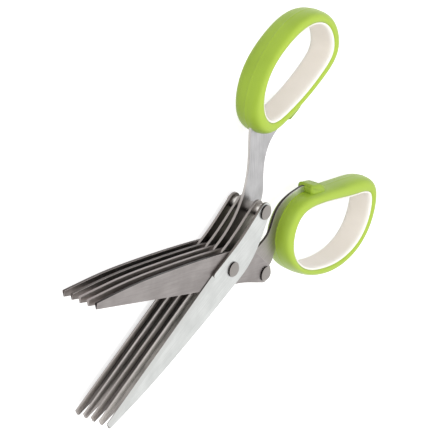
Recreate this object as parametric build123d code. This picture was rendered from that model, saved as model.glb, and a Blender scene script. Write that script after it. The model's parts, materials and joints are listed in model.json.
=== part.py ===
from build123d import *
import os
from dataclasses import dataclass
from math import cos, radians, sin

"""Herb scissors with five pairs of blades and two moulded finger loops.

The scissors lie flat with the pivot axis along +Z. The origin is on the pivot axis, on the face
that rests on the table. The tips point to -Y and the handles to +Y. At rest the blades stand
open, and the Y axis halves the angle between them.

Each half is drawn closed, in its own frame, with the blade along -Y and the middle of the stack
at z = 0. The right half is the left one turned over about the Y axis, apart from its tang.
Lengths are in millimetres and angles in degrees.
"""

# Blade stack
blade_pairs = 5
pair_pitch = 4.07
plate = 1.2
shear_gap = 0.05
half_opening = 18.3

# Blade
tip_reach = 90.0
tip_width = 2.6
heel_width = 16.1
heel_height = 2.5
ricasso = 10.3
edge_step = 0.5
grind_width = 1.9
edge_land = 0.35

# Lug and rivets
lug_reach = 28.8
lug_angle = 14.6
lug_radius = 4.2
rim_start = 30
rim_end = 190
shaft_radius = 1.7
running_gap = 0.05
head_radius = 3.3
head_height = 1.25
head_edge = 0.5
spacer_wall = 1.0
washer_wall = 3.0

# Handles: a smaller loop for the thumb on the left, a larger one for the fingers on the right
meet_offset = 26.4
thumb_shank = 13.5
thumb_width = 38.7
thumb_length = 65.7
finger_shank = 16.6
finger_width = 42.7
finger_length = 76.1
side_wall = 4.3
foot_wall = 6.2
end_wall = 6.0
grip_depth = 14.4
grip_round = 3.2
lip_round = 0.8
liner_wall = 1.3
liner_round = 0.9
tang_cover = 1.5

# Stop nub, and the steel fin below it
nub_rise = 2.8
nub_gap = 0.05
nub_length = 10.5
nub_depth = 5.8
nub_round = 0.9
thumb_nub_start = 22.8
finger_nub_start = 18.2
fin_gap = 1.0

# Outlines, as shares of the sizes that they follow
spine_shares = ((0.95, 0.25), (0.825, 0.50), (0.605, 0.75))
tip_cut_share = 0.35
loop_shares = ((0.02, 0.31), (0.003, 0.685), (0.128, 0.955), (0.36, 1.0), (0.715, 0.927),
               (0.966, 0.706), (0.99, 0.411), (0.80, 0.132), (0.437, 0.0), (0.107, 0.093))
hole_shares = ((0.03, 0.274), (0.013, 0.776), (0.128, 0.959), (0.388, 1.0), (0.704, 0.931),
               (0.941, 0.718), (0.998, 0.462), (0.877, 0.163), (0.516, 0.006), (0.20, 0.037))
nub_shares = ((0.0, 0.08), (0.0, 0.72), (1.0, 1.0), (2.0, 1.0), (2.0, 0.0), (0.25, 0.0))

# Tang edges: shares of the way from the rivet to the point where the grips meet at the foot
left_outer_shares = ((0.51, 0.0), (1.044, 0.561), (1.617, 0.941))
left_inner_shares = ((0.924, 1.68), (0.69, 1.279), (0.261, 0.942), (-0.178, 0.577), (-0.324, 0.0))
right_outer_shares = ((-0.096, -0.03), (-0.071, 0.515), (-0.033, 0.975))
right_inner_shares = ((0.939, 1.659), (0.85, 1.18), (0.683, 0.846), (0.398, 0.63), (0.307, 0.399),
                      (0.222, 0.047))

heel_half = heel_width / 2
lug = Vector(-lug_reach * sin(radians(lug_angle)), lug_reach * cos(radians(lug_angle)))
stack_top = (blade_pairs - 1) / 2 * pair_pitch + shear_gap / 2 + plate
middle_height = stack_top + shear_gap + head_height
bore_radius = shaft_radius + running_gap
heel_spine = Vector(heel_half, heel_height)
heel_cut = Vector(-heel_half, heel_height)
edge_corner = Vector(-heel_half, -ricasso)
edge_start = edge_corner + Vector(edge_step, -2 * edge_step)
tip_cut = Vector(-tip_width * tip_cut_share, -tip_reach)
loop_depth = grip_depth / 2 - lip_round


@dataclass
class Loop:
    """One finger loop in the closed frame of its half, from where the two grips meet."""

    meet: float
    shank: float
    width: float
    length: float
    nub_start: float

    @property
    def flank(self):
        """Side of the grip that faces the other grip."""
        return self.meet - nub_rise

    @property
    def foot(self):
        """Lowest point of the grip."""
        return lug.Y + self.shank

    @property
    def nub_foot(self):
        """Lower end of the stop nub."""
        return self.foot + self.nub_start

    def outside(self, inset=0.0):
        """Face within the outline of the grip, or within a curve that runs inside it."""
        points = [Vector(self.flank - x * self.width, self.foot + y * self.length) for x, y in loop_shares]
        return closed_face(points, inset)

    def hole(self, inset=0.0):
        """Face within the hole of the grip, or within a curve that runs inside it."""
        width = self.width - 2 * side_wall
        length = self.length - foot_wall - end_wall
        points = [Vector(self.flank - side_wall - x * width, self.foot + foot_wall + y * length)
                  for x, y in hole_shares]
        return closed_face(points, inset)


def closed_face(points, inset):
    """Face within one smooth curve round some points, all moved inwards by a distance."""
    if inset:
        rim = Spline(*points, periodic=True)
        ways = [rim % rim.param_at_point(point) for point in points]
        points = [point + Vector(-way.Y, way.X) * inset for point, way in zip(points, ways)]
    rim = Spline(*points, periodic=True)
    return Face(Wire([rim.trim(0, 0.5), rim.trim(0.5, 1)]))


def on_lug(angle):
    """Point on the rim of the lug, at an angle from +X."""
    return lug + Vector(cos(radians(angle)), sin(radians(angle))) * lug_radius


def blade_edges():
    """Edges of a blade from the spine side of the heel, round the tip, to the cutting side."""
    tip_spine = Vector(tip_width * (1 - tip_cut_share), -tip_reach)
    spine = [Vector(heel_half * x, -tip_reach * y) for x, y in spine_shares]
    back = Spline(heel_spine, *spine, tip_spine, tangents=((0, -1), tip_spine - spine[-1]))
    return [back, Line(tip_spine, tip_cut), Line(tip_cut, edge_start), Line(edge_start, edge_corner),
            Line(edge_corner, heel_cut)]


def grind(solid):
    """Grind the upper face down to a thin land along the cutting edge."""
    along = tip_cut - edge_start
    section = Plane(edge_start, x_dir=(-along.Y, along.X, 0), z_dir=along)
    drop = plate - edge_land
    wedge = [Vector(-grind_width, edge_land - drop), Vector(2 * grind_width, plate + drop),
             Vector(-grind_width, plate + drop)]
    tool = extrude(section * Face(Wire.make_polygon(wedge)), amount=along.length + tip_width, dir=along)
    return solid - tool


def stamp(edges, holes):
    """A plate of sheet steel with its bottom face at z = 0."""
    blank = extrude(Face(Wire(edges)), amount=plate, dir=(0, 0, 1))
    for hole in holes:
        blank -= Pos(hole.X, hole.Y, plate / 2) * Cylinder(bore_radius, 2 * plate)
    return blank


def short_blade():
    """Blade that ends in the rounded lug for the handle-end rivet."""
    edges = blade_edges()
    rim = ThreePointArc(on_lug(rim_end), on_lug((rim_start + rim_end) / 2), on_lug(rim_start))
    edges.append(Spline(heel_cut, rim @ 0, tangents=((0, 1), rim % 0)))
    edges.append(rim)
    edges.append(Spline(rim @ 1, heel_spine, tangents=(rim % 1, (0, -1))))
    return grind(stamp(edges, (Vector(0, 0), lug)))


def handle_blade(loop, outer_shares, inner_shares):
    """Middle blade, which runs on as a tang and hooks round the foot of the finger loop."""
    edges = blade_edges()
    reach = Vector(loop.meet - lug.X, loop.shank)

    def along(shares):
        return [lug + Vector(reach.X * x, reach.Y * y) for x, y in shares]

    fin = [Vector(loop.flank, loop.nub_foot + nub_length / 2), Vector(loop.meet - fin_gap, loop.nub_foot)]
    outer, inner = along(outer_shares), fin + along(inner_shares)
    root = Vector(loop.meet - loop.width / 2, loop.foot + foot_wall)
    edges.append(Spline(heel_cut, *outer, root, tangents=((0, 1), (-0.5, 1))))
    edges.append(Line(root, Vector(loop.flank - side_wall, fin[0].Y)))
    edges.append(Line(edges[-1] @ 1, fin[0]))
    edges.append(Spline(*inner, heel_spine, tangents=((0.5, -1), (0, -1)), tangent_scalars=(1, 1)))
    blank = stamp(edges, (Vector(0, 0), lug))
    return grind(blank - extrude(loop.hole(-tang_cover), amount=plate, dir=(0, 0, 1)))


def slab(face, depth):
    """Solid of a face, spread evenly over both sides of the middle plane."""
    return Pos(0, 0, -depth / 2) * extrude(face, amount=depth, dir=(0, 0, 1))


def grip(loop, tang):
    """Moulded finger loop with its stop nub, hollow where the tang and the liner lie."""
    body = slab(loop.outside(), grip_depth)
    levels = body.edges().group_by(Axis.Z)
    body = fillet(levels[0] + levels[-1], grip_round) - slab(loop.hole(), 2 * grip_depth)
    levels = body.edges().filter_by(lambda edge: abs(edge.center().Z) > loop_depth).group_by(Axis.Z)
    rims = (levels[0] + levels[-1]).sort_by(SortBy.LENGTH)[:4]
    body = fillet(rims, lip_round)
    block = [Vector(loop.meet - nub_gap - nub_rise * x, loop.nub_foot + nub_length * y) for x, y in nub_shares]
    nub = slab(Face(Wire.make_polygon(block)), nub_depth)
    nub = fillet(nub.edges().filter_by(lambda edge: edge.center().X > loop.flank), nub_round)
    return body + (nub - slab(loop.hole(), 2 * grip_depth)) - tang


def liner(loop):
    """Inner band of the finger loop, with rounded rims."""
    band = slab(loop.hole(), 2 * loop_depth) - slab(loop.hole(liner_wall), 4 * loop_depth)
    levels = band.edges().group_by(Axis.Z)
    rims = (levels[0] + levels[-1]).group_by(SortBy.LENGTH)[0]
    return fillet(rims, liner_round)


def rivet(bottom, top):
    """Rivet through a stack from one height to another, closed by a head on both sides."""
    head = Cylinder(head_radius, head_height, align=(Align.CENTER, Align.CENTER, Align.MIN))
    head = fillet(head.edges().sort_by(Axis.Z)[-1], head_edge)
    shaft = Pos(0, 0, (bottom + top) / 2) * Cylinder(shaft_radius, top - bottom)
    return Pos(0, 0, top) * head + shaft + Pos(0, 0, bottom) * Rot(180, 0, 0) * head


def ring(wall, bottom, top):
    """Tube on a rivet, from one height to another."""
    tube = Cylinder(bore_radius + wall, top - bottom) - Cylinder(bore_radius, 2 * (top - bottom))
    return Pos(0, 0, (bottom + top) / 2) * tube


def half(side, loop, outer_shares, inner_shares):
    """All pieces of one half, closed and in its own frame, by name."""
    pieces = {}
    centre = (blade_pairs - 1) / 2
    level = [(index - centre) * pair_pitch + shear_gap / 2 for index in range(blade_pairs)]
    blade = short_blade()
    for index, bottom in enumerate(level):
        if index != centre:
            number = index + 1 if side == "left" else blade_pairs - index
            pieces[f"{side}_blade_{number}"] = Pos(0, 0, bottom) * blade
    tang = Pos(0, 0, shear_gap / 2) * handle_blade(loop, outer_shares, inner_shares)
    pieces[f"{side}_handle_blade"] = tang
    for index in range(blade_pairs - 1):
        number = index + 1 if side == "left" else blade_pairs - 1 - index
        spacer = ring(spacer_wall, level[index] + plate, level[index + 1])
        pieces[f"{side}_spacer_{number}"] = Pos(lug.X, lug.Y, 0) * spacer
    pieces[f"{side}_rivet"] = Pos(lug.X, lug.Y, 0) * rivet(level[0], level[-1] + plate)
    pieces[f"{side}_grip"] = grip(loop, tang)
    pieces[f"{side}_liner"] = liner(loop)
    return pieces


def pivot():
    """Main rivet and the washers between the pairs, which stay with the left half."""
    pieces = {"pivot_rivet": rivet(-stack_top - shear_gap, stack_top)}
    for index in range(blade_pairs - 1):
        bottom = (index - (blade_pairs - 1) / 2) * pair_pitch + shear_gap / 2 + plate
        thickness = pair_pitch - 2 * (plate + shear_gap)
        pieces[f"pivot_washer_{index + 1}"] = ring(washer_wall, bottom, bottom + thickness)
    return pieces


def main():
    """Build every piece in place and write one STEP file for each."""
    os.makedirs("parts", exist_ok=True)
    thumb = Loop(-meet_offset, thumb_shank, thumb_width, thumb_length, thumb_nub_start)
    fingers = Loop(meet_offset, finger_shank, finger_width, finger_length, finger_nub_start)
    left = half("left", thumb, left_outer_shares, left_inner_shares) | pivot()
    right = half("right", fingers, right_outer_shares, right_inner_shares)
    lift = Pos(0, 0, middle_height)
    placed = {name: lift * Rot(0, 0, half_opening) * piece for name, piece in left.items()}
    turned = lift * Rot(0, 0, -half_opening) * Rot(0, 180, 0)
    placed |= {name: turned * piece for name, piece in right.items()}
    for name, piece in placed.items():
        export_step(piece, f"parts/{name}.step")


main()
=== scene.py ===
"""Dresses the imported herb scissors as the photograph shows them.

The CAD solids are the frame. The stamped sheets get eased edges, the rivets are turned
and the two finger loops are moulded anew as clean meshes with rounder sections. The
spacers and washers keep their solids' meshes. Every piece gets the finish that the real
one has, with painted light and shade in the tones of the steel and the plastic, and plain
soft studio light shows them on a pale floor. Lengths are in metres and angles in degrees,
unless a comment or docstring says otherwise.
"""

import json
import logging
import math
from dataclasses import dataclass, field
from enum import Enum

import bpy
from mathutils import Matrix, Vector

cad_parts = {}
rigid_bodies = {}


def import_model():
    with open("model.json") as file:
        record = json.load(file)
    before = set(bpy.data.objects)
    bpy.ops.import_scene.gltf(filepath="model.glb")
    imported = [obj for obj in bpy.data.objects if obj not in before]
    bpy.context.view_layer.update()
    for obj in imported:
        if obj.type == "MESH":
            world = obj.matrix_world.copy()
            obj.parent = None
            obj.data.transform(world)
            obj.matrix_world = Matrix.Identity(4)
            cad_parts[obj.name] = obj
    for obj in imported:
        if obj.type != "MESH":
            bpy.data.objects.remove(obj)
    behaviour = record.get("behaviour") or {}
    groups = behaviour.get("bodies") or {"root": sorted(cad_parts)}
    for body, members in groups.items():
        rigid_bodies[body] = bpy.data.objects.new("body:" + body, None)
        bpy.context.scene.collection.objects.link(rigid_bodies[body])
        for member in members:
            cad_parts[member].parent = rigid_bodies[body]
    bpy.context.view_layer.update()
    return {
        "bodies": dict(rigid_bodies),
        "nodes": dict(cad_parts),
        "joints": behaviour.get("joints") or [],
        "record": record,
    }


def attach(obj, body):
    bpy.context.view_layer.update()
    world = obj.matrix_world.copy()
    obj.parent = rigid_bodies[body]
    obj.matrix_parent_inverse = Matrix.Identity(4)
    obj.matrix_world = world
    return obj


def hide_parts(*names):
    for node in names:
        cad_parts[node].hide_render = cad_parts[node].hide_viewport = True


LOG = logging.getLogger("herb_scissors")
MM = 0.001

Tree = bpy.types.NodeTree
Node = bpy.types.Node
Socket = bpy.types.NodeSocket
Span = tuple[float, float]
Shares = tuple[tuple[float, float], ...]

# Half the opening at rest, and the height of the middle blades
HALF_OPENING = 18.3
MIDDLE = 10.665 * MM

# Outlines of the loops from the foot of the flank, as shares of their width and length
THUMB_OUTLINE_SHARES = (
    (0.02, 0.31), (0.003, 0.685), (0.128, 0.951), (0.36, 0.995), (0.71, 0.921),
    (0.957, 0.702), (0.98, 0.411), (0.792, 0.136), (0.437, 0.005), (0.107, 0.095))
THUMB_HOLE_SHARES = (
    (0.03, 0.274), (0.013, 0.776), (0.128, 0.959), (0.388, 1.0), (0.704, 0.931),
    (0.941, 0.718), (0.998, 0.462), (0.877, 0.163), (0.516, 0.006), (0.20, 0.037))
FINGER_OUTLINE_SHARES = (
    (0.02, 0.31), (-0.017, 0.685), (0.088, 0.965), (0.34, 1.003), (0.71, 0.923),
    (0.957, 0.703), (0.98, 0.411), (0.792, 0.136), (0.437, 0.004), (0.107, 0.095))
FINGER_HOLE_SHARES = (
    (0.045, 0.274), (0.036, 0.776), (0.10, 0.972), (0.375, 1.003), (0.704, 0.931),
    (0.941, 0.718), (0.998, 0.462), (0.877, 0.163), (0.516, 0.006), (0.20, 0.037))

# Outline of the stop nub from the grip's flank, as shares of its rise and length
NUB_SHARES = (
    (-0.6, 0.08), (0.25, -0.04), (0.75, -0.02), (0.925, 0.16), (0.925, 0.55),
    (0.78, 0.80), (0.20, 1.05), (-0.6, 1.18))

# Rounds in which a closed curve finds its slopes
SPLINE_ROUNDS = 60


class Side(Enum):
    """The two halves of the scissors, by the hand that the handle lies towards."""

    LEFT = "left"
    RIGHT = "right"

    @property
    def body(self) -> str:
        """Name of the body that this half's pieces ride on."""
        return f"{self.value}_half"

    @property
    def turn(self) -> float:
        """Angle from the Y axis to the half's own blade axis at rest."""
        return HALF_OPENING if self is Side.LEFT else -HALF_OPENING

    @property
    def place(self) -> Matrix:
        """Turn and lift from the half's own closed frame to its place at rest.

        Returns:
            The matrix of both.
        """
        opened = Matrix.Rotation(math.radians(self.turn), 4, "Z")
        turned_over = Matrix.Rotation(0.0 if self is Side.LEFT else math.pi, 4, "Y")
        return Matrix.Translation((0, 0, MIDDLE)) @ opened @ turned_over


class Slot(Enum):
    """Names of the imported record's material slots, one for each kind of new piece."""

    BLADE = "blade_steel"
    RIVET = "rivet_steel"
    GREEN = "green_plastic"
    WHITE = "white_plastic"


def linear(code: str) -> tuple[float, float, float, float]:
    """Turns an sRGB hex colour into the linear colour that shaders take.

    Args:
        code: Six hex digits, with or without a leading mark.

    Returns:
        Linear red, green and blue, and an alpha of one.
    """
    digits = code.lstrip("#")
    channels = [int(digits[i:i + 2], 16) / 255 for i in (0, 2, 4)]
    curved = [c / 12.92 if c <= 0.04045 else ((c + 0.055) / 1.055) ** 2.4 for c in channels]
    return (*curved, 1.0)


def add_node(tree: Tree, kind: str, inputs: dict | None = None, **settings) -> Node:
    """Adds a node to a tree, sets its options and fills or links its inputs.

    Args:
        tree: Node tree that the node goes into.
        kind: Blender's name of the node type.
        inputs: Values or sockets for the node's inputs, by name or number.
        **settings: Options of the node itself.

    Returns:
        The new node.
    """
    node = tree.nodes.new(kind)
    for name, value in settings.items():
        setattr(node, name, value)
    for socket, value in (inputs or {}).items():
        if isinstance(value, Socket):
            tree.links.new(value, node.inputs[socket])
        else:
            node.inputs[socket].default_value = value
    return node


def new_material(name: str) -> tuple[bpy.types.Material, Tree, Node]:
    """Makes an empty node material.

    Args:
        name: Name of the material.

    Returns:
        The material, its tree, and the tree's Texture Coordinate node.
    """
    material = bpy.data.materials.new(name)
    material.use_nodes = True
    tree = material.node_tree
    tree.nodes.clear()
    return material, tree, add_node(tree, "ShaderNodeTexCoord")


def close_tree(tree: Tree, shader: Socket) -> None:
    """Sends a shader to the material's output."""
    add_node(tree, "ShaderNodeOutputMaterial", {"Surface": shader})


def close_grained(tree: Tree, height: Socket, strength: float, depth: float,
                  inputs: dict) -> None:
    """Closes a material with one Principled surface that has a fine grain.

    Args:
        tree: Node tree of the material.
        height: Height of the grain.
        strength: Share of the grain's depth that the light shows.
        depth: Depth of the grain.
        inputs: Values or sockets for the surface's other inputs.
    """
    bump = add_node(tree, "ShaderNodeBump", {
        "Height": height, "Strength": strength, "Distance": depth})
    surface = add_node(tree, "ShaderNodeBsdfPrincipled", {
        **inputs, "Normal": bump.outputs["Normal"]})
    close_tree(tree, surface.outputs["BSDF"])


def blend(tree: Tree, share: Socket, first: Socket | str, second: Socket | str) -> Socket:
    """Blends one colour into another.

    Args:
        tree: Node tree of the material.
        share: Share of the second colour.
        first: Socket or hex code of the first colour.
        second: Socket or hex code of the second colour.

    Returns:
        The blended colour.
    """
    start, end = [linear(tone) if isinstance(tone, str) else tone for tone in (first, second)]
    mixed = add_node(tree, "ShaderNodeMix", {"Factor": share, 6: start, 7: end},
                     data_type="RGBA")
    return mixed.outputs[2]


def spread(tree: Tree, value: Socket, before: Span = (0.0, 1.0), after: Span = (0.0, 1.0),
           **settings) -> Socket:
    """Maps a value from one range to another and keeps it within.

    Args:
        tree: Node tree of the material.
        value: The value.
        before: Range that it comes from.
        after: Range that it goes to.
        **settings: Options of the node.

    Returns:
        The mapped value.
    """
    return add_node(tree, "ShaderNodeMapRange", {
        "Value": value, "From Min": before[0], "From Max": before[1],
        "To Min": after[0], "To Max": after[1]}, **settings).outputs["Result"]


def reckon(tree: Tree, operation: str, *values: Socket | float) -> Socket:
    """Works out one sum of one or two values."""
    inputs = dict(enumerate(values))
    return add_node(tree, "ShaderNodeMath", inputs, operation=operation).outputs["Value"]


def noise(tree: Tree, place: Node, size: float, detail: float) -> Socket:
    """Adds an even noise.

    Args:
        tree: Node tree of the material.
        place: Its Texture Coordinate node.
        size: Size of the patches.
        detail: Number of finer layers.

    Returns:
        The noise, from 0 to 1.
    """
    return add_node(tree, "ShaderNodeTexNoise", {
        "Vector": place.outputs["Object"], "Scale": 1 / size, "Detail": detail}).outputs["Fac"]


def level_share(tree: Tree, place: Node) -> Socket:
    """Tells how level a surface lies, by its normal: 1 is level and 0 is upright."""
    normal = add_node(tree, "ShaderNodeSeparateXYZ", {"Vector": place.outputs["Normal"]})
    return reckon(tree, "ABSOLUTE", normal.outputs["Z"])


def seen_share(tree: Tree) -> Socket:
    """Tells rays that show a surface from rays that only gather its light.

    Args:
        tree: Node tree of the material or the world.

    Returns:
        1 for rays from the camera, a mirror or glass, and 0 for all others.
    """
    ray = add_node(tree, "ShaderNodeLightPath")
    seen = reckon(tree, "MAXIMUM", ray.outputs["Is Camera Ray"], ray.outputs["Is Glossy Ray"])
    return reckon(tree, "MAXIMUM", seen, ray.outputs["Is Transmission Ray"])


@dataclass(frozen=True)
class SheetTones:
    """Colours of a steel sheet: its face, the streaks in it, the ground facet and the cut wall,
    which carry painted light and shade.
    """

    face: str
    streak: str
    facet: str
    wall: str


@dataclass(frozen=True)
class BrushedStainless:
    """Stainless sheet whose faces are belt-ground to fine lines along the blade.

    To the eye it is a soft satin grey, streaked along the lines. Its ground facet and cut
    walls have tones of their own, which carry painted light: the facets of blades deep in the
    stack are lighter as a painted highlight, and the walls are darker where they face away
    from the lamps, partly as sheared steel and mostly as painted shade. Between its
    neighbours the sheet takes darker tones as painted shade, so each blade of a stack has its
    own shade.
    """

    name: str
    tones: SheetTones
    turn: float
    # Darker tones of the stretch inside the stack, painted shade
    inside: SheetTones | None = None
    tang_turn: float = 0.0
    fin_face: str | None = None

    # Way from the pivot to where the sheet leaves the stack, its grinding turns and its painted
    # shade ends, and to the fin beside the grip
    stack_end: float = 27 * MM
    stack_blend: float = 3 * MM
    fin_start: float = 44 * MM
    fin_blend: float = 10 * MM

    # Shares of level at which a surface turns into fin, ground facet and cut wall
    fin_level: Span = (0.7, 0.95)
    facet_level: Span = (0.985, 0.93)
    wall_level: Span = (0.72, 0.35)

    # Grinding lines are drawn coarser than the belt's real grit, so that they show
    line_pitch: float = 0.5 * MM
    line_length: float = 14 * MM
    line_depth: float = 0.01 * MM
    line_strength: float = 0.35
    line_detail: float = 5.0
    line_fineness: float = 0.65

    # Broad clouds from an uneven hand at the belt break up the streaks
    cloud_size: float = 9 * MM
    cloud_detail: float = 3.0
    streak_span: Span = (0.14, 0.36)
    streak_roughness: float = 0.44
    face_roughness: float = 0.32

    def build(self) -> bpy.types.Material:
        """Builds the material.

        Returns:
            The finished material.
        """
        material, tree, place = new_material(self.name)
        lines = self.ground_lines(tree, place, self.turn)
        clouds = noise(tree, place, self.cloud_size, self.cloud_detail)
        level = level_share(tree, place)
        if self.inside:
            # Past the lug the sheet leaves the stack and becomes the tang, ground another way
            along = self.along_blade(tree, place)
            outside = spread(tree, along, (self.stack_end - self.stack_blend,
                                           self.stack_end + self.stack_blend))
            tang_lines = self.ground_lines(tree, place, self.tang_turn)
            lines = add_node(tree, "ShaderNodeMix", {
                "Factor": outside, 2: lines, 3: tang_lines}).outputs[0]
        share = spread(tree, reckon(tree, "MULTIPLY", lines, clouds), self.streak_span)
        colour = self.coloured(tree, self.tones, share, level)
        # Inside the stack the colour takes the darker tones, painted shade between the plates
        if self.inside:
            colour = blend(tree, outside, self.coloured(tree, self.inside, share, level), colour)
        if self.fin_face:
            # The fin beside the grip has a brighter face than the rest of the tang
            on_fin = spread(tree, along, (self.fin_start, self.fin_start + self.fin_blend))
            brighter_fin = reckon(tree, "MULTIPLY", on_fin, spread(tree, level, self.fin_level))
            colour = blend(tree, brighter_fin, colour, self.fin_face)
        rough = spread(tree, share, after=(self.streak_roughness, self.face_roughness))
        close_grained(tree, lines, self.line_strength, self.line_depth, {
            "Base Color": colour, "Metallic": 1.0, "Roughness": rough})
        return material

    def turned(self, tree: Tree, place: Node, turn: float) -> Socket:
        """Turns the object's own axes about Z, so that Y runs at an angle to the old Y."""
        return add_node(tree, "ShaderNodeMapping", {
            "Vector": place.outputs["Object"],
            "Rotation": (0.0, 0.0, math.radians(-turn))}).outputs["Vector"]

    def along_blade(self, tree: Tree, place: Node) -> Socket:
        """Measures the way from the pivot to the handle along the blade's own axis."""
        axes = {"Vector": self.turned(tree, place, self.turn)}
        return add_node(tree, "ShaderNodeSeparateXYZ", axes).outputs["Y"]

    def ground_lines(self, tree: Tree, place: Node, turn: float) -> Socket:
        """Draws the grinding lines as a noise that is drawn out one way.

        Args:
            tree: Node tree of the material.
            place: Its Texture Coordinate node.
            turn: Angle from the Y axis to the lines.

        Returns:
            Height of the lines.
        """
        drawn_out = add_node(tree, "ShaderNodeVectorMath", {
            0: self.turned(tree, place, turn),
            1: (1 / self.line_pitch, 1 / self.line_length, 1 / self.line_pitch),
        }, operation="MULTIPLY")
        return add_node(tree, "ShaderNodeTexNoise", {
            "Vector": drawn_out.outputs["Vector"], "Scale": 1.0, "Detail": self.line_detail,
            "Roughness": self.line_fineness}).outputs["Fac"]

    def coloured(self, tree: Tree, tones: SheetTones, share: Socket, level: Socket) -> Socket:
        """Colours face, facet and wall, told apart by how level the surface lies.

        Args:
            tree: Node tree of the material.
            tones: Colours of the sheet.
            share: How much of the face colour shows through the streaks.
            level: How level the surface lies.

        Returns:
            The colour.
        """
        ground = blend(tree, share, tones.streak, tones.face)
        faceted = blend(tree, spread(tree, level, self.facet_level), ground, tones.facet)
        return blend(tree, spread(tree, level, self.wall_level), faceted, tones.wall)


@dataclass(frozen=True)
class TurnedSteel:
    """Turned and riveted steel: a flat satin head, a bevelled rim and a side of its own tone.

    To the eye the heads are a quiet warm grey, a little mottled as headed steel is, with sides
    painted near black as shade, while the tubes and washers in the stack have their tones
    raised to the brightness of their highlights, a painted highlight that sets them brighter
    than the blades there.
    """

    name: str
    face: str
    rim: str
    side: str

    # Shares of level at which the face turns into the rim, and the rim into the side
    rim_level: Span = (0.97, 0.88)
    side_level: Span = (0.5, 0.2)

    # Mottle of the headed steel, a little coarser than real so that it shows
    mottle_size: float = 0.9 * MM
    mottle_detail: float = 4.0
    mottle_depth: float = 0.02 * MM
    mottle_strength: float = 0.2
    mottle_span: Span = (0.3, 0.7)
    mottle_share: Span = (0.0, 0.35)
    roughness: Span = (0.25, 0.4)

    def build(self) -> bpy.types.Material:
        """Builds the material.

        Returns:
            The finished material.
        """
        material, tree, place = new_material(self.name)
        level = level_share(tree, place)
        mottle = noise(tree, place, self.mottle_size, self.mottle_detail)
        mottled = spread(tree, mottle, self.mottle_span, self.mottle_share)
        flat = blend(tree, mottled, self.face, self.rim)
        rimmed = blend(tree, spread(tree, level, self.rim_level), flat, self.rim)
        colour = blend(tree, spread(tree, level, self.side_level), rimmed, self.side)
        close_grained(tree, mottle, self.mottle_strength, self.mottle_depth, {
            "Base Color": colour, "Metallic": 1.0,
            "Roughness": spread(tree, mottle, after=self.roughness)})
        return material


@dataclass(frozen=True)
class MouldedPlastic:
    """Injection-moulded plastic with the even grain of a spark-eroded mould.

    To the eye it is one colour with a soft sheen, which drifts a little in tone. Towards the
    crests above and below the middle it turns paler, a painted highlight that leaves the
    flanks looking shaded.
    """

    name: str
    body: str
    shade: str
    crest_highlight: str
    roughness: Span

    # Height above and below the middle over which the colour turns into the painted highlight of
    # the crests
    crest_highlight_span: Span

    # Flow of the melt leaves slow changes of tone over a few centimetres
    flow_size: float = 22 * MM
    flow_detail: float = 2.0
    flow_span: Span = (0.35, 0.65)

    # Grain of the mould, drawn coarser than the real one so that it shows
    grain_size: float = 0.35 * MM
    grain_detail: float = 2.0
    grain_depth: float = 0.012 * MM
    grain_strength: float = 0.4
    refraction: float = 1.47
    sheen: float = 0.3

    def build(self) -> bpy.types.Material:
        """Builds the material.

        Returns:
            The finished material.
        """
        material, tree, place = new_material(self.name)
        flow = noise(tree, place, self.flow_size, self.flow_detail)
        colour = blend(tree, spread(tree, flow, self.flow_span), self.shade, self.body)
        spot = add_node(tree, "ShaderNodeSeparateXYZ", {"Vector": place.outputs["Object"]})
        height = reckon(tree, "ABSOLUTE", reckon(tree, "SUBTRACT", spot.outputs["Z"], MIDDLE))
        # Painted highlight: paler towards the crests, by height from the middle
        painted_crest_light = spread(tree, height, self.crest_highlight_span, interpolation_type="SMOOTHSTEP")
        colour = blend(tree, painted_crest_light, colour, self.crest_highlight)
        grain = noise(tree, place, self.grain_size, self.grain_detail)
        close_grained(tree, grain, self.grain_strength, self.grain_depth, {
            "Base Color": colour, "Roughness": spread(tree, grain, after=self.roughness),
            "IOR": self.refraction, "Specular IOR Level": self.sheen})
        return material


@dataclass(frozen=True)
class StudioPaper:
    """Matt paper of the studio floor, which the camera and shiny metal see as white."""

    name: str = "matt_studio_paper"
    paper: str = "#cfcfcf"
    glow: str = "#ffffff"
    lift: float = 0.7

    def build(self) -> bpy.types.Material:
        """Builds the material.

        Returns:
            The finished material.
        """
        material, tree, _ = new_material(self.name)
        paper = add_node(tree, "ShaderNodeBsdfDiffuse", {"Color": linear(self.paper)})
        glow = add_node(tree, "ShaderNodeEmission", {
            "Color": linear(self.glow),
            "Strength": reckon(tree, "MULTIPLY", seen_share(tree), self.lift)})
        both = add_node(tree, "ShaderNodeAddShader", {
            0: paper.outputs["BSDF"], 1: glow.outputs["Emission"]})
        close_tree(tree, both.outputs["Shader"])
        return material


def start_clean() -> None:
    """Deselects everything, so that an operator acts on nothing by accident."""
    if bpy.context.object and bpy.context.object.mode != "OBJECT":
        bpy.ops.object.mode_set(mode="OBJECT")
    bpy.ops.object.select_all(action="DESELECT")


def work_on(piece: bpy.types.Object) -> None:
    """Makes one piece the only selected and active object.

    Args:
        piece: The piece.
    """
    start_clean()
    piece.select_set(True)
    bpy.context.view_layer.objects.active = piece


def dress(piece: bpy.types.Object, material: bpy.types.Material) -> None:
    """Gives a piece one material and nothing else."""
    piece.data.materials.clear()
    piece.data.materials.append(material)


def smooth(piece: bpy.types.Object, angle: float) -> None:
    """Shades a piece smooth where its faces meet at less than an angle."""
    work_on(piece)
    bpy.ops.object.shade_smooth_by_angle(angle=math.radians(angle))


def turn_outward() -> None:
    """Makes all faces of the piece in edit mode look outward."""
    bpy.ops.mesh.select_all(action="SELECT")
    bpy.ops.mesh.normals_make_consistent(inside=False)


def seat(piece: bpy.types.Object, node: str, side: Side, slot: Slot) -> None:
    """Puts a new piece in a node's place in the frame.

    Args:
        piece: The new piece.
        node: Name of the CAD node that it stands for.
        side: Half of the scissors that it rides on.
        slot: Its material slot; not used.
    """
    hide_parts(node)
    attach(piece, side.body)
    LOG.info("%s stands for %s", piece.name, node)


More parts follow.
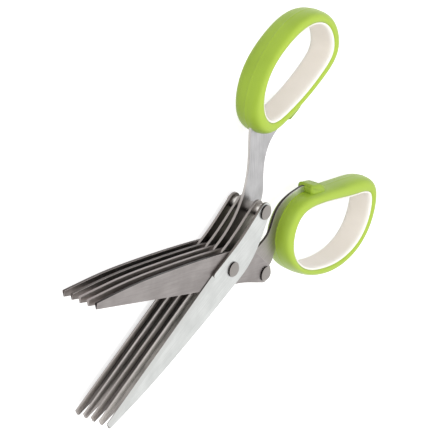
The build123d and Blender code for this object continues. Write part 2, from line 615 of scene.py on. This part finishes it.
@dataclass
class SheetMetal:
    """The stamped sheets of one half: four short blades and the long handle blade."""

    side: Side
    finishes: dict[str, BrushedStainless]
    weld: float = 0.001 * MM
    flat_angle: float = 0.6
    edge_ease: float = 0.18 * MM
    ease_steps: int = 2
    crease: float = 24.0

    def build(self, frame: dict) -> None:
        """Eases the edges of every sheet of this half and dresses it.
        """
        for name, finish in self.finishes.items():
            node = f"{self.side.value}_{name}"
            piece = self.copy_of(frame["nodes"][node], f"{node}_sheet")
            self.ease_edges(piece)
            dress(piece, finish.build())
            seat(piece, node, self.side, Slot.BLADE)

    def copy_of(self, solid: bpy.types.Object, name: str) -> bpy.types.Object:
        """Copies a CAD sheet as a closed mesh with flat faces in one piece.

        Args:
            solid: The CAD node's object.
            name: Name of the new piece.

        Returns:
            The new piece.
        """
        piece = bpy.data.objects.new(name, solid.data.copy())
        bpy.context.scene.collection.objects.link(piece)
        work_on(piece)
        bpy.ops.object.mode_set(mode="EDIT")
        bpy.ops.mesh.select_all(action="SELECT")
        bpy.ops.mesh.remove_doubles(threshold=self.weld)
        bpy.ops.mesh.dissolve_limited(angle_limit=math.radians(self.flat_angle))
        bpy.ops.object.mode_set(mode="OBJECT")
        return piece

    def ease_edges(self, piece: bpy.types.Object) -> None:
        """Rounds the sheet's sharp edges a little, as tumbling after the press does.

        Args:
            piece: The sheet.
        """
        work_on(piece)
        ease = piece.modifiers.new("ease", "BEVEL")
        ease.width = self.edge_ease
        ease.segments = self.ease_steps
        ease.limit_method = "ANGLE"
        ease.angle_limit = math.radians(self.crease)
        bpy.ops.object.modifier_apply(modifier=ease.name)
        smooth(piece, self.crease)


def around(points: list[Vector], count: int) -> list[Vector]:
    """Runs a smooth closed curve through points, with even bend from one to the next.

    Args:
        points: Points of the curve in order, the last one next to the first.
        count: Number of points wanted along the curve.

    Returns:
        Points spaced evenly along the curve.
    """
    total = len(points)
    after = points[1:] + points[:1]
    gaps = [(end - start).length for start, end in zip(points, after)]
    ways = [Vector((0.0, 0.0)) for _ in points]
    for _ in range(SPLINE_ROUNDS):
        for i in range(total):
            near, far = gaps[i - 1], gaps[i]
            pull = 3 * (far / near * (points[i] - points[i - 1])
                        + near / far * (after[i] - points[i]))
            ways[i] = (pull - far * ways[i - 1] - near * ways[(i + 1) % total]) / (2 * (near + far))
    step = sum(gaps) / count
    spaced, i, passed = [], 0, 0.0
    for number in range(count):
        while passed + gaps[i] < number * step:
            passed += gaps[i]
            i += 1
        u = (number * step - passed) / gaps[i]
        ahead = u * u * (3 - 2 * u)
        lean_out, lean_in = u * (1 - u) ** 2 * gaps[i], u * u * (u - 1) * gaps[i]
        spaced.append((1 - ahead) * points[i] + ahead * after[i]
                      + lean_out * ways[i] + lean_in * ways[(i + 1) % total])
    return spaced


def nearest_on(curve: list[Vector], point: Vector) -> Vector:
    """Finds the point of a closed polyline that lies nearest to a given point.

    Args:
        curve: Corners of the polyline.
        point: The given point.

    Returns:
        The nearest point.
    """
    best, found = math.inf, point
    for start, end in zip(curve, curve[1:] + curve[:1]):
        along = end - start
        share = min(max((point - start).dot(along) / along.length_squared, 0.0), 1.0)
        spot = start + along * share
        if (spot - point).length < best:
            best, found = (spot - point).length, spot
    return found


def quarter(steps: int) -> list[float]:
    """Gives the angles of a quarter turn in even steps, with both ends, in radians."""
    return [math.radians(90 * k / steps) for k in range(steps + 1)]


def wrap(name: str, sections: list[list[Vector]]) -> bpy.types.Object:
    """Models a closed ring from a torus, each cross-section set on its own points.

    Args:
        name: Name of the new piece.
        sections: Cross-sections in order, all with the same number of points.

    Returns:
        The new piece.
    """
    start_clean()
    bpy.ops.mesh.primitive_torus_add(
        major_segments=len(sections), minor_segments=len(sections[0]))
    piece = bpy.context.object
    piece.name = name
    points = [point for section in sections for point in section]
    for vertex, point in zip(piece.data.vertices, points):
        vertex.co = point
    bpy.ops.object.mode_set(mode="EDIT")
    turn_outward()
    bpy.ops.object.mode_set(mode="OBJECT")
    return piece


@dataclass
class FingerLoop:
    """One moulded finger loop: the green grip with its stop nub, and the white liner.

    It is drawn in the closed frame of its half, where the grips meet at x = meet.
    """

    side: Side
    soft: bpy.types.Material
    hard: bpy.types.Material
    meet: float
    foot: float
    width: float
    length: float
    nub_foot: float
    outline_shares: Shares
    hole_shares: Shares

    # Width of the moulding at the sides, the foot and the far end
    side_wall: float = 4.3 * MM
    foot_wall: float = 6.2 * MM
    end_wall: float = 6.0 * MM

    # Cross-section of the grip, where a power below 1 is fuller than an ellipse
    crown: float = 6.75 * MM
    lip: float = 1.2 * MM
    fullness: float = 0.82

    # Parting line round the outline, and its half width as a share of its height
    parting_ridge: float = 0.1 * MM
    parting_share: float = 2.5

    # Cross-section of the liner, and its powers across and upward
    liner_wall: float = 1.3 * MM
    liner_height: float = 6.1 * MM
    liner_fullness: tuple[float, float] = (0.8, 0.35)

    nub_half_depth: float = 4.0 * MM
    nub_round: float = 1.3 * MM
    nub_rise: float = 2.8 * MM
    nub_length: float = 10.5 * MM
    nub_crease: float = 60.0

    # Numbers of sections and of points, and the least angle of an edge that shows
    rings: int = 240
    steps: int = 12
    lip_steps: int = 3
    nub_steps: int = 48
    nub_round_steps: int = 4
    crease: float = 40.0

    @property
    def flank(self) -> float:
        """Where the grip's flank stands, beside the nub that meets the other one."""
        return self.meet - self.nub_rise

    def build(self) -> None:
        """Models and dresses the grip and the liner."""
        outline = around([Vector((self.flank - x * self.width, self.foot + y * self.length))
                          for x, y in self.outline_shares], 2 * self.rings)
        width = self.width - 2 * self.side_wall
        length = self.length - self.foot_wall - self.end_wall
        hole = around([Vector((self.flank - self.side_wall - x * width,
                               self.foot + self.foot_wall + y * length))
                       for x, y in self.hole_shares], self.rings)
        half = self.side.value
        grip = wrap(f"{half}_moulded_grip", [self.grip_section(spot, outline) for spot in hole])
        self.add_nub(grip)
        self.finish(grip, self.soft, f"{half}_grip", Slot.GREEN)
        ways = [after - before
                for before, after in zip(hole[-1:] + hole[:-1], hole[1:] + hole[:1])]
        liner = wrap(f"{half}_moulded_liner", [
            self.liner_section(spot, Vector((-way.y, way.x, 0)).normalized())
            for spot, way in zip(hole, ways)])
        self.finish(liner, self.hard, f"{half}_liner", Slot.WHITE)

    def finish(self, piece: bpy.types.Object, material: bpy.types.Material, node: str,
               slot: Slot) -> None:
        """Brings a moulding to its place at rest, smooths, dresses and seats it.

        Args:
            piece: The moulding in the closed frame of its half.
            material: Its material.
            node: Name of the CAD node that it stands for.
            slot: Its material slot.
        """
        piece.data.transform(self.side.place)
        smooth(piece, self.crease)
        dress(piece, material)
        seat(piece, node, self.side, slot)

    def grip_section(self, inner: Vector, outline: list[Vector]) -> list[Vector]:
        """Cross-section of the grip from the hole to the nearest point of the outline.

        Args:
            inner: Point of the hole's curve.
            outline: Points of the outline.

        Returns:
            Points of the closed cross-section, up the hole's wall and round the crown.
        """
        across = nearest_on(outline, inner) - inner
        wall = across.length
        across = across.normalized().to_3d()
        bow = wall - self.lip
        upper = [(0.0, 0.0), (0.0, self.crown / 2), (0.0, self.crown - self.lip)]
        upper += [(self.lip * (1 - math.cos(a)), self.crown - self.lip * (1 - math.sin(a)))
                  for a in quarter(self.lip_steps)[1:]]
        upper += [(self.lip + bow * math.sin(a) ** self.fullness,
                   self.crown * math.cos(a) ** self.fullness)
                  for a in quarter(self.steps)[1:-1]]
        upper.append((wall, self.parting_share * self.parting_ridge))
        whole = upper + [(wall + self.parting_ridge, 0.0)]
        whole += [(x, -z) for x, z in reversed(upper[1:])]
        return [inner.to_3d() + across * x + Vector((0, 0, z)) for x, z in whole]

    def liner_section(self, outer: Vector, inward: Vector) -> list[Vector]:
        """Cross-section of the liner, whose inner wall rolls over to both rims.

        Args:
            outer: Point where the liner lies against the grip.
            inward: Direction from there into the hole.

        Returns:
            Points of the closed cross-section.
        """
        wide, high = self.liner_fullness
        rim = [(self.liner_wall * math.sin(a) ** wide, self.liner_height * math.cos(a) ** high)
               for a in quarter(self.steps)]
        whole = [(0.0, 0.0)] + rim + [(x, -z) for x, z in reversed(rim[:-1])]
        return [outer.to_3d() + inward * x + Vector((0, 0, z)) for x, z in whole]

    def add_nub(self, grip: bpy.types.Object) -> None:
        """Moulds the stop nub on to the grip's flank.

        Args:
            grip: The grip, which the nub becomes part of.
        """
        profile = around([Vector((self.flank + x * self.nub_rise,
                                  self.nub_foot + y * self.nub_length))
                          for x, y in NUB_SHARES], self.nub_steps)
        start_clean()
        bpy.ops.mesh.primitive_circle_add(vertices=self.nub_steps, fill_type="NGON")
        nub = bpy.context.object
        for vertex, point in zip(nub.data.vertices, profile):
            vertex.co = (point.x, point.y, -self.nub_half_depth)
        bpy.ops.object.mode_set(mode="EDIT")
        bpy.ops.mesh.select_all(action="SELECT")
        bpy.ops.mesh.extrude_region_move(
            TRANSFORM_OT_translate={"value": (0, 0, 2 * self.nub_half_depth)})
        turn_outward()
        bpy.ops.mesh.select_all(action="DESELECT")
        bpy.ops.mesh.edges_select_sharp(sharpness=math.radians(self.nub_crease))
        bpy.ops.mesh.bevel(
            offset=self.nub_round, segments=self.nub_round_steps, affect="EDGES")
        bpy.ops.object.mode_set(mode="OBJECT")
        work_on(grip)
        union = grip.modifiers.new("nub", "BOOLEAN")
        union.operation = "UNION"
        union.solver = "MANIFOLD"
        union.object = nub
        bpy.ops.object.modifier_apply(modifier=union.name)
        bpy.data.objects.remove(nub)


@dataclass
class Rivet:
    """A through rivet, turned in one piece, with a bevelled rim on both heads."""

    node: str
    side: Side
    finish: bpy.types.Material
    head_height: float = 1.25 * MM
    head_radius: float = 3.3 * MM
    face_radius: float = 2.55 * MM
    shaft_radius: float = 1.7 * MM
    bevel_drop: float = 0.5 * MM
    ease: float = 0.12 * MM
    sides: int = 64
    crease: float = 25.0

    def build(self, frame: dict) -> None:
        """Turns the rivet in its solid's place.
        """
        corners = [v.co for v in frame["nodes"][self.node].data.vertices]
        low, high = min(c.z for c in corners), max(c.z for c in corners)
        centre = Vector((sum(f(c.x for c in corners) for f in (min, max)) / 2,
                         sum(f(c.y for c in corners) for f in (min, max)) / 2, 0))
        head = [(self.face_radius, 0.0), (self.head_radius - self.ease, self.bevel_drop),
                (self.head_radius, self.bevel_drop + self.ease),
                (self.head_radius, self.head_height), (self.shaft_radius, self.head_height)]
        turned = [(radius, low + depth) for radius, depth in head]
        turned += [(radius, high - depth) for radius, depth in reversed(head)]
        piece = self.turn(f"{self.node}_turned", centre, turned)
        smooth(piece, self.crease)
        dress(piece, self.finish)
        seat(piece, self.node, self.side, Slot.RIVET)

    def turn(self, name: str, centre: Vector,
             profile: list[tuple[float, float]]) -> bpy.types.Object:
        """Turns a closed solid from a profile of radii and heights.

        Args:
            name: Name of the new piece.
            centre: Where the axis stands.
            profile: Radius and height of each ring, from the bottom up.

        Returns:
            The new piece.
        """
        start_clean()
        radius, height = profile[0]
        bpy.ops.mesh.primitive_circle_add(
            vertices=self.sides, radius=radius, fill_type="NGON",
            location=(centre.x, centre.y, height))
        piece = bpy.context.object
        piece.name = name
        bpy.ops.object.transform_apply(location=True, rotation=False, scale=False)
        bpy.ops.object.mode_set(mode="EDIT")
        bpy.ops.mesh.select_all(action="SELECT")
        for next_radius, next_height in profile[1:]:
            bpy.ops.mesh.extrude_region_move(
                TRANSFORM_OT_translate={"value": (0, 0, next_height - height)})
            ratio = next_radius / radius
            bpy.ops.transform.resize(
                value=(ratio, ratio, 1), center_override=(centre.x, centre.y, next_height))
            radius, height = next_radius, next_height
        turn_outward()
        bpy.ops.object.mode_set(mode="OBJECT")
        return piece


@dataclass
class PhotoCamera:
    """The photograph's camera, found from the rivets, the tips and the finger loops."""

    aim: tuple[float, float, float] = (-20.386 * MM, 3.349 * MM, MIDDLE)
    distance: float = 0.835813
    heading: float = 37.5156
    elevation: float = 31.6616
    roll: float = 109.2984
    focal_pixels: float = 2000.0
    image_pixels: int = 436

    # Width of the sensor in millimetres, as Blender takes it, and how far the camera sees
    sensor: float = 36.0
    sight: float = 20.0

    def build(self) -> None:
        """Adds the camera and makes it the scene's own."""
        forward = Vector((
            math.cos(math.radians(self.elevation)) * math.sin(math.radians(self.heading)),
            math.cos(math.radians(self.elevation)) * math.cos(math.radians(self.heading)),
            -math.sin(math.radians(self.elevation))))
        level = forward.cross(Vector((0, 0, 1))).normalized()
        upright = level.cross(forward)
        turn = math.radians(self.roll)
        right = level * math.cos(turn) + upright * math.sin(turn)
        up = upright * math.cos(turn) - level * math.sin(turn)
        start_clean()
        bpy.ops.object.camera_add(location=Vector(self.aim) - forward * self.distance)
        camera = bpy.context.object
        camera.name = "photo_camera"
        camera.rotation_euler = Matrix((right, up, -forward)).transposed().to_euler()
        camera.data.sensor_width = self.sensor
        camera.data.lens = self.focal_pixels / self.image_pixels * self.sensor
        camera.data.clip_end = self.sight
        bpy.context.scene.camera = camera


@dataclass
class SoftBox:
    """A square lamp with a cloth front, aimed at a point of the object."""

    name: str
    place: tuple[float, float, float]
    size: float
    watts: float
    aim: tuple[float, float, float] = (-0.02, 0.01, 0.01)

    def build(self) -> None:
        """Hangs the lamp and aims it."""
        start_clean()
        bpy.ops.object.light_add(type="AREA", location=self.place)
        lamp = bpy.context.object
        lamp.name = self.name
        lamp.data.size = self.size
        lamp.data.energy = self.watts
        # Steel and plastic mirror the even sky, and the lamp itself is not in them
        lamp.visible_glossy = False
        way = Vector(self.aim) - Vector(self.place)
        lamp.rotation_euler = way.to_track_quat("-Z", "Y").to_euler()


@dataclass
class Studio:
    """Plain pale floor, soft lamps and an even sky."""

    floor_width: float = 6.0
    sky: str = "#ffffff"
    sky_strength: float = 0.55
    lamps: list[SoftBox] = field(default_factory=lambda: [
        SoftBox("top_softbox", place=(-0.1, -0.25, 1.1), size=2.0, watts=16.0),
        SoftBox("side_softbox", place=(-0.75, -0.35, 0.45), size=1.2, watts=2.5),
    ])

    def build(self) -> None:
        """Lays the floor, hangs the lamps and sets the sky."""
        start_clean()
        bpy.ops.mesh.primitive_plane_add(size=self.floor_width, location=(0, 0, 0))
        floor = bpy.context.object
        floor.name = "studio_floor"
        dress(floor, StudioPaper().build())
        for lamp in self.lamps:
            lamp.build()
        self.hang_sky()
        bpy.context.scene.view_settings.view_transform = "Standard"

    def hang_sky(self) -> None:
        """Sets an even sky, which the camera and shiny metal see as white."""
        world = bpy.data.worlds.new("studio_sky")
        world.use_nodes = True
        bpy.context.scene.world = world
        tree = world.node_tree
        tree.nodes.clear()
        sky = add_node(tree, "ShaderNodeBackground", {
            "Color": linear(self.sky),
            "Strength": spread(tree, seen_share(tree), after=(self.sky_strength, 1.0))})
        add_node(tree, "ShaderNodeOutputWorld", {"Surface": sky.outputs["Background"]})


def left_sheets() -> SheetMetal:
    """Chooses the finishes of the left half, whose top blade lies open to the light and is painted
    lit, while the blades below it carry painted shade.

    Returns:
        The left half's sheets.
    """
    # The lower blades' faces are painted shade, deepest at the bottom, with lighter facets as
    # painted highlight; the top blade's wall is a painted shade line, and the tang's wall, facing
    # the lamps, is painted light
    out = SheetTones(face="#e4e6e4", streak="#d5d7d5", facet="#d8d9d7", wall="#6d6763")
    half_shade = SheetTones(face="#a8a29e", streak="#86807c", facet="#d6d0cc", wall="#8f8986")
    deep_shade = SheetTones(face="#6f6966", streak="#5c5653", facet="#c4beba", wall="#8f8986")
    tang = SheetTones(face="#cccbcc", streak="#b9b8b9", facet="#c6c5c6", wall="#b3afac")
    line = Side.LEFT.turn
    return SheetMetal(Side.LEFT, {
        "blade_1": BrushedStainless("ground_stainless_left_low", deep_shade, line),
        "blade_2": BrushedStainless("ground_stainless_left_second", half_shade, line),
        "handle_blade": BrushedStainless(
            "ground_stainless_left_handle", tang, line, inside=deep_shade, tang_turn=89.1),
        "blade_4": BrushedStainless("ground_stainless_left_fourth", half_shade, line),
        "blade_5": BrushedStainless("ground_stainless_left_top", out, line),
    })


def right_sheets() -> SheetMetal:
    """Chooses the finishes of the right half, whose steel is painted as a shaded copy of the left,
    since its top blade lies under the left one.

    Returns:
        The right half's sheets.
    """
    # The top blade's face is painted darker than the left top blade's, as shade; the blades below
    # carry deeper painted shade with lighter facets as painted highlight, and the walls are painted
    # near black as shade
    out = SheetTones(face="#aaa4a2", streak="#9a9492", facet="#b9b2b0", wall="#24201f")
    half_shade = SheetTones(face="#9f9895", streak="#857e7a", facet="#c4bdbb", wall="#8b8482")
    deep_shade = SheetTones(face="#8a8380", streak="#6e6865", facet="#c4bdbb", wall="#4d4744")
    tang = SheetTones(face="#b2acaa", streak="#a39d9b", facet="#b2acaa", wall="#3a3532")
    line = Side.RIGHT.turn
    return SheetMetal(Side.RIGHT, {
        "blade_1": BrushedStainless("ground_stainless_right_low", deep_shade, line),
        "blade_2": BrushedStainless("ground_stainless_right_second", deep_shade, line),
        "handle_blade": BrushedStainless(
            "ground_stainless_right_handle", tang, line, inside=half_shade, tang_turn=18.0,
            fin_face="#ecebec"),
        "blade_4": BrushedStainless("ground_stainless_right_fourth", half_shade, line),
        "blade_5": BrushedStainless("ground_stainless_right_top", out, line),
    })


def finger_loops() -> tuple[FingerLoop, FingerLoop]:
    """Chooses the plastics and sizes of the two finger loops.

    Returns:
        The thumb loop and the finger loop.
    """
    # Both plastics take a painted highlight towards the crests of their sections
    green = MouldedPlastic(
        "moulded_green_elastomer", body="#9cb83c", shade="#93ae37", crest_highlight="#a9c348",
        roughness=(0.3, 0.42), crest_highlight_span=(4.5 * MM, 6.7 * MM)).build()
    white = MouldedPlastic(
        "moulded_white_polypropylene", body="#f3ece4", shade="#ede6dc", crest_highlight="#f5f1eb",
        roughness=(0.44, 0.56), crest_highlight_span=(3.5 * MM, 6.1 * MM)).build()
    thumb = FingerLoop(
        Side.LEFT, green, white, meet=-26.4 * MM, foot=41.37 * MM, width=38.7 * MM,
        length=65.7 * MM, nub_foot=64.17 * MM, outline_shares=THUMB_OUTLINE_SHARES,
        hole_shares=THUMB_HOLE_SHARES)
    fingers = FingerLoop(
        Side.RIGHT, green, white, meet=26.4 * MM, foot=44.47 * MM, width=42.7 * MM,
        length=76.1 * MM, nub_foot=62.67 * MM, outline_shares=FINGER_OUTLINE_SHARES,
        hole_shares=FINGER_HOLE_SHARES)
    return thumb, fingers


def main() -> None:
    """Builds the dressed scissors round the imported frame."""
    logging.basicConfig(level=logging.INFO, format="%(name)s: %(message)s")
    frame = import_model()
    PhotoCamera().build()
    for sheets in (left_sheets(), right_sheets()):
        sheets.build(frame)
    for loop in finger_loops():
        loop.build()
    # The rivets' near-black sides are painted shade
    rivet_steel = TurnedSteel(
        "turned_rivet_steel", face="#a09b97", rim="#a29d99", side="#24201f").build()
    for node, side in (("left_rivet", Side.LEFT), ("pivot_rivet", Side.LEFT),
                       ("right_rivet", Side.RIGHT)):
        Rivet(node, side, rivet_steel).build(frame)
    # The spacers and washers have tones raised to the brightness of their highlights, a painted
    # highlight
    spacer_steel = TurnedSteel(
        "turned_spacer_steel", face="#c9c5c1", rim="#d6d2ce", side="#cdc9c5").build()
    for name, node in frame["nodes"].items():
        if "spacer" in name or "washer" in name:
            dress(node, spacer_steel)
            LOG.info("%s keeps its solid's mesh", name)
    Studio().build()


if __name__ == "__main__":
    main()
